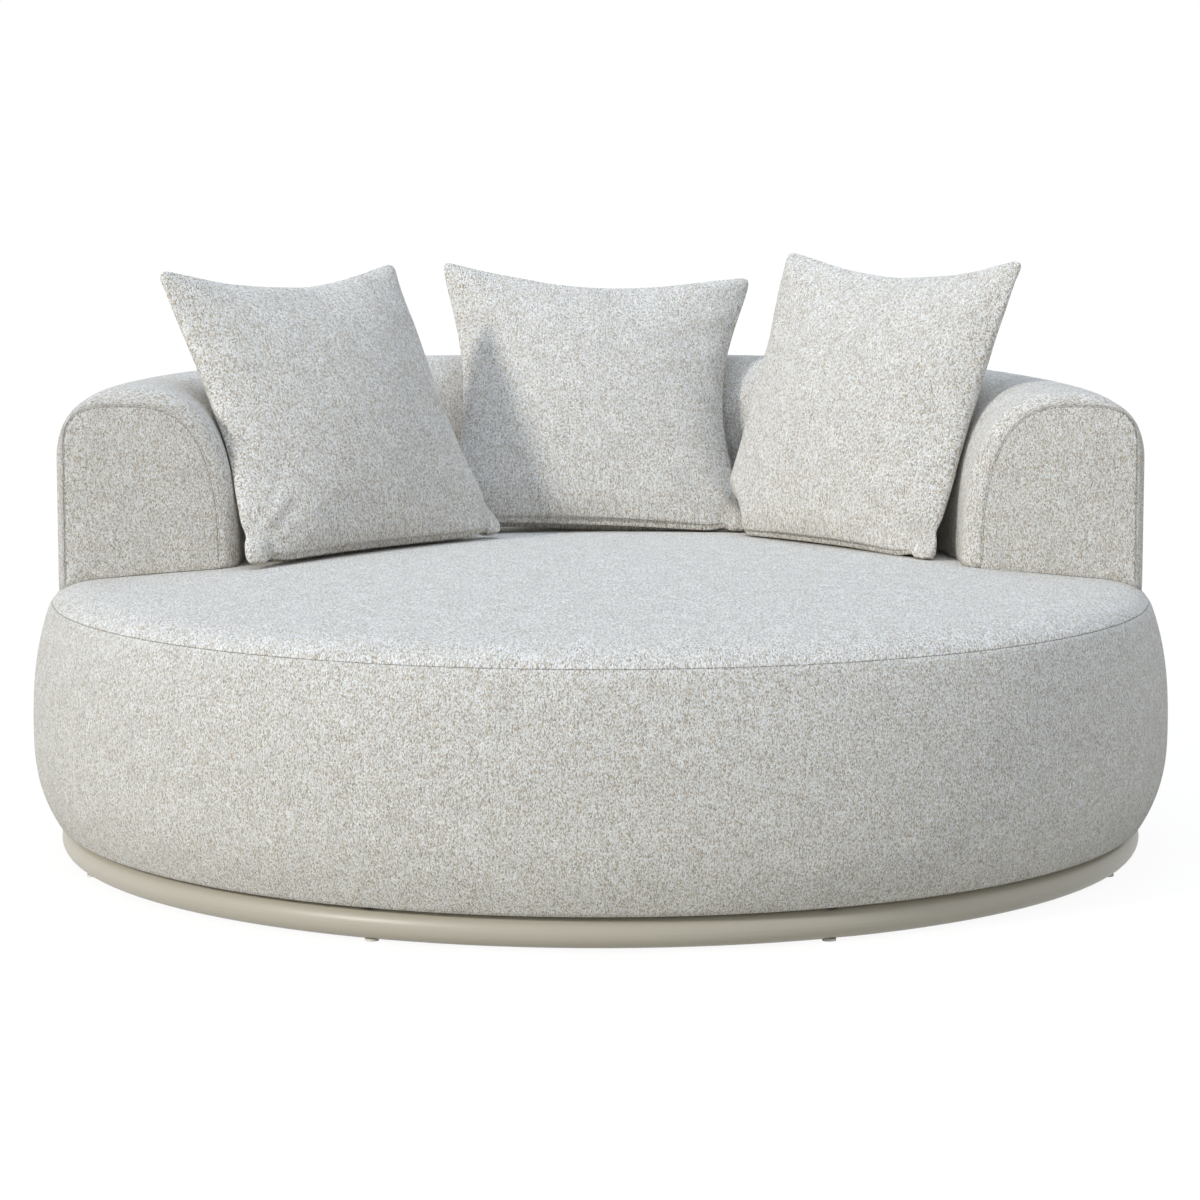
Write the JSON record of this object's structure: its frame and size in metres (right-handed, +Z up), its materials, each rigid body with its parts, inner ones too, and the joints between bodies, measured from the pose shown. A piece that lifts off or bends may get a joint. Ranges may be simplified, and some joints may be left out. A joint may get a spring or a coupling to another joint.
{
  "type": "outdoor daybed",
  "caption": "Round outdoor daybed: crowned drum seat on a painted tube ring, horseshoe backrest and loose square scatter pillows in looped fabric.",
  "frame": {"origin": "on the floor under the centre of the round seat", "axes": "+Z up, +X to the sitter's left as seen from the front (the viewer's right), the open front faces -Y"},
  "size_m": [1.7988, 1.7984, 0.9184],
  "materials": {
    "looped_fabric": "rough",
    "foam": "matte",
    "taupe_paint": "satin",
    "frame_aluminium": "satin",
    "steel": "satin",
    "nylon": "matte",
    "pad_rubber": "matte",
    "webbing": "matte",
    "dust_mesh": "matte",
    "zip_tape": "matte",
    "zip_metal": "satin"
  },
  "bodies": {
    "daybed": {"base_ring": "taupe_paint", "cross_beam_long": "taupe_paint", "cross_beams_short": "taupe_paint", "glides": "nylon", "spacer_pads": "pad_rubber", "spacer_sleeves": "nylon", "base_bolts": "steel", "rivet_nuts": "steel", "seat_lower_hoop": "frame_aluminium", "floor_beams": "frame_aluminium", "seat_posts": "frame_aluminium", "centre_post": "frame_aluminium", "seat_upper_hoop": "frame_aluminium", "deck_beams": "frame_aluminium", "webbing_across": "webbing", "webbing_along": "webbing", "webbing_screws": "steel", "dust_cover": "dust_mesh", "side_foam": "foam", "seat_foam": "foam", "seat_side_cover": "looped_fabric", "seat_top_cover": "looped_fabric", "back_sockets": "frame_aluminium", "back_uprights": "frame_aluminium", "back_lower_rail": "frame_aluminium", "back_upper_rail": "frame_aluminium", "back_bolts": "steel", "back_foam": "foam", "back_cover": "looped_fabric", "arm_pad_left": "foam", "arm_pad_right": "foam", "arm_panel_left": "looped_fabric", "arm_panel_right": "looped_fabric"},
    "pillow_left": {"pillow_left_front": "looped_fabric", "pillow_left_back": "looped_fabric", "pillow_left_fill": "foam", "pillow_left_zip": "zip_tape"},
    "zip_slider_left": {"pillow_left_slider": "zip_metal"},
    "pillow_middle": {"pillow_middle_front": "looped_fabric", "pillow_middle_back": "looped_fabric", "pillow_middle_fill": "foam", "pillow_middle_zip": "zip_tape"},
    "zip_slider_middle": {"pillow_middle_slider": "zip_metal"},
    "pillow_right": {"pillow_right_front": "looped_fabric", "pillow_right_back": "looped_fabric", "pillow_right_fill": "foam", "pillow_right_zip": "zip_tape"},
    "zip_slider_right": {"pillow_right_slider": "zip_metal"}
  },
  "joints": [
    {"name": "lift_left_pillow", "type": "slide", "parent": "daybed", "child": "pillow_left", "axis": [0, 0, 1], "range_m": [0, 0.35]},
    {"name": "zip_left_pillow", "type": "hinge", "parent": "pillow_left", "child": "zip_slider_left", "pos_m": [0.06335, -0.35477, -0.62704], "axis": [0.5965, -0.6397, 0.4848], "range_deg": [0, 12.6]},
    {"name": "lift_middle_pillow", "type": "slide", "parent": "daybed", "child": "pillow_middle", "axis": [0, 0, 1], "range_m": [0, 0.35]},
    {"name": "zip_middle_pillow", "type": "hinge", "parent": "pillow_middle", "child": "zip_slider_middle", "pos_m": [-0.00271, -0.31968, -0.56318], "axis": [0.0867, -0.8245, 0.5592], "range_deg": [0, 12.6]},
    {"name": "lift_right_pillow", "type": "slide", "parent": "daybed", "child": "pillow_right", "axis": [0, 0, 1], "range_m": [0, 0.35]},
    {"name": "zip_right_pillow", "type": "hinge", "parent": "pillow_right", "child": "zip_slider_right", "pos_m": [-0.01462, -0.14957, -0.67997], "axis": [-0.6681, -0.623, 0.4067], "range_deg": [0, 12.6]}
  ]
}
